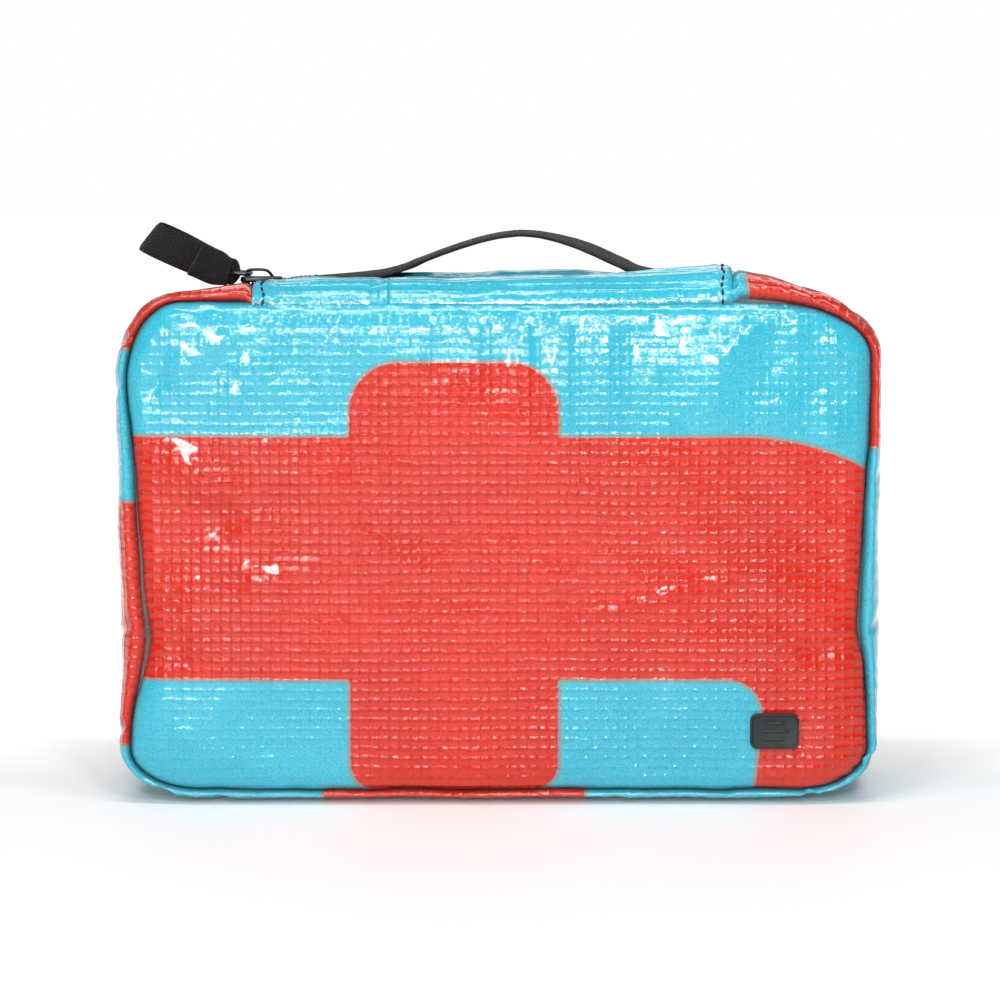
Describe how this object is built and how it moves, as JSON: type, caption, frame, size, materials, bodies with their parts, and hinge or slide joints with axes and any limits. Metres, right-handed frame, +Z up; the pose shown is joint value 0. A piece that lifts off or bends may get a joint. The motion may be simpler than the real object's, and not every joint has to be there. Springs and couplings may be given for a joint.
{
  "type": "first aid kit pouch",
  "caption": "Boxy zipped first aid pouch of printed coated vinyl, with a webbing handle and zip pull on top, lined and filled with dressings and tools.",
  "frame": {"origin": "bottom centre of the bounding box, on the surface the pouch stands on", "axes": "+Z up, face towards -Y, +X to the right as seen from the front, along the zip"},
  "size_m": [0.237, 0.0786, 0.1785],
  "materials": {
    "vinyl": "glossy PVC-coated scrim, turquoise ground printed with red",
    "lining": "woven nylon, matt",
    "binding": "woven tape, matt",
    "mesh": "knitted mesh",
    "rubber": "moulded, satin",
    "tape": "woven zip tape",
    "coil": "nylon monofilament coil",
    "metal": "gunmetal-coated zinc",
    "webbing": "woven polypropylene webbing",
    "steel": "satin stainless steel",
    "grip": "moulded polypropylene",
    "gauze": "cotton gauze and cloth tape",
    "elastic": "crepe weave",
    "core": "moulded ring",
    "carton": "printed carton board",
    "foil": "metallised film, folded",
    "pouch": "thin polyethylene bag",
    "paper": "sterile paper wrapper",
    "sachet": "laminated foil sachet"
  },
  "bodies": {
    "bag": {"front_panel": "vinyl", "back_panel": "vinyl", "gusset_band": "vinyl", "badge": "rubber", "lining_front": "lining", "lining_back": "lining", "lining_gusset": "lining", "front_seam_binding": "binding", "rear_seam_binding": "binding", "mesh_pocket": "mesh", "pocket_elastic": "binding", "rear_zip_strip": "vinyl", "rear_strip_lining": "lining", "zip_tape_rear": "tape", "zip_coil_rear": "coil", "handle_left_end": "webbing", "handle_right_end": "webbing", "shears_blade_a": "steel", "shears_grip_a": "grip", "shears_rivet": "steel", "gauze_roll": "gauze", "elastic_bandage_roll": "elastic", "medical_tape_roll": "gauze", "tape_core": "core", "bandage_box": "carton", "emergency_blanket": "foil", "glove_pouch": "pouch", "gauze_packet_1": "paper", "gauze_packet_2": "paper", "gauze_packet_3": "paper", "wipe_packet_1": "sachet", "wipe_packet_2": "sachet", "wipe_packet_3": "sachet", "tweezers": "steel"},
    "front_lip": {"front_zip_strip": "vinyl", "front_strip_lining": "lining", "zip_tape_front": "tape", "zip_coil_front": "coil"},
    "slider": {"zip_slider": "metal"},
    "ring": {"slider_ring": "metal"},
    "pull": {"pull_loop": "webbing"},
    "handle": {"carry_handle": "webbing"},
    "shears_half": {"shears_blade_b": "steel", "shears_grip_b": "grip"}
  },
  "joints": [
    {"name": "slider_travel", "type": "slide", "parent": "bag", "child": "slider", "axis": [1, 0, 0], "range_m": [0, 0.132], "deforming": ["zip_tape_front", "zip_coil_front", "zip_coil_rear"]},
    {"name": "front_lip_open", "type": "hinge", "parent": "bag", "child": "front_lip", "pos_m": [0, -0.036, 0.1555], "axis": [1, 0, 0], "range_deg": [0, 75]},
    {"name": "ring_swing", "type": "hinge", "parent": "slider", "child": "ring", "pos_m": [-0.0781, 0, 0.1625], "axis": [0, 1, 0], "range_deg": [0, 80]},
    {"name": "pull_swing", "type": "hinge", "parent": "ring", "child": "pull", "pos_m": [-0.08357, 0, 0.16307], "axis": [0, 1, 0], "range_deg": [0, 60]},
    {"name": "handle_swing", "type": "hinge", "parent": "bag", "child": "handle", "pos_m": [0.006, 0.018, 0.1633], "axis": [1, 0, 0], "range_deg": [-35, 20]},
    {"name": "shears_pivot", "type": "hinge", "parent": "bag", "child": "shears_half", "pos_m": [0, 0, 0.0705], "axis": [0, 1, 0], "range_deg": [0, 45]}
  ],
  "couplings": [
    {"joint": "front_lip_open", "follows": "slider_travel", "rad_per_m": 9.9}
  ]
}
